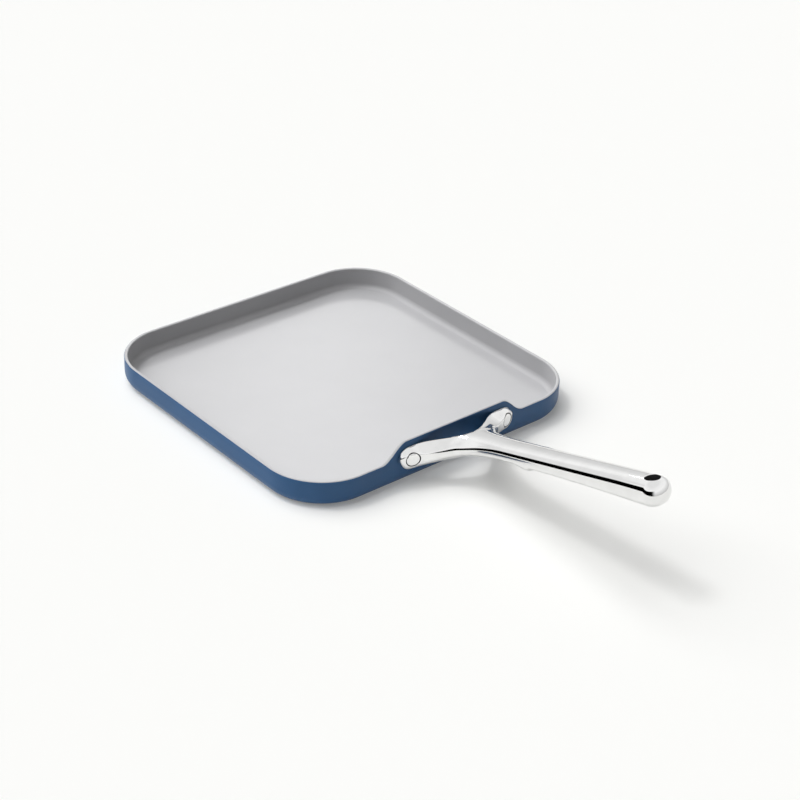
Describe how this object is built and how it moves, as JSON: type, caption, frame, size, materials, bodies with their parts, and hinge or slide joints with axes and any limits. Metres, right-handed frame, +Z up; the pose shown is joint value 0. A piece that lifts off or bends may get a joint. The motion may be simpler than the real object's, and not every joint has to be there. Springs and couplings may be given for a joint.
{
  "type": "square griddle pan",
  "caption": "Shallow square frying pan with rounded corners, a ceramic-lined inside, a raised tab in one wall and a forked polished steel handle riveted to it.",
  "frame": {"origin": "centre of the flat underside that the pan rests on", "axes": "+X from the pan's centre along the handle, +Z up out of the pan, +Y across the handle"},
  "size_m": [0.4914, 0.28, 0.0897],
  "materials": {
    "pan_body": "satin navy enamel over cast aluminium",
    "ceramic_lining": "satin",
    "handle": "polished",
    "rivets": "polished"
  },
  "bodies": {
    "root": {"pan_body": "pan_body", "ceramic_lining": "ceramic_lining", "handle": "handle", "rivet_left": "rivets", "rivet_right": "rivets"}
  },
  "joints": []
}
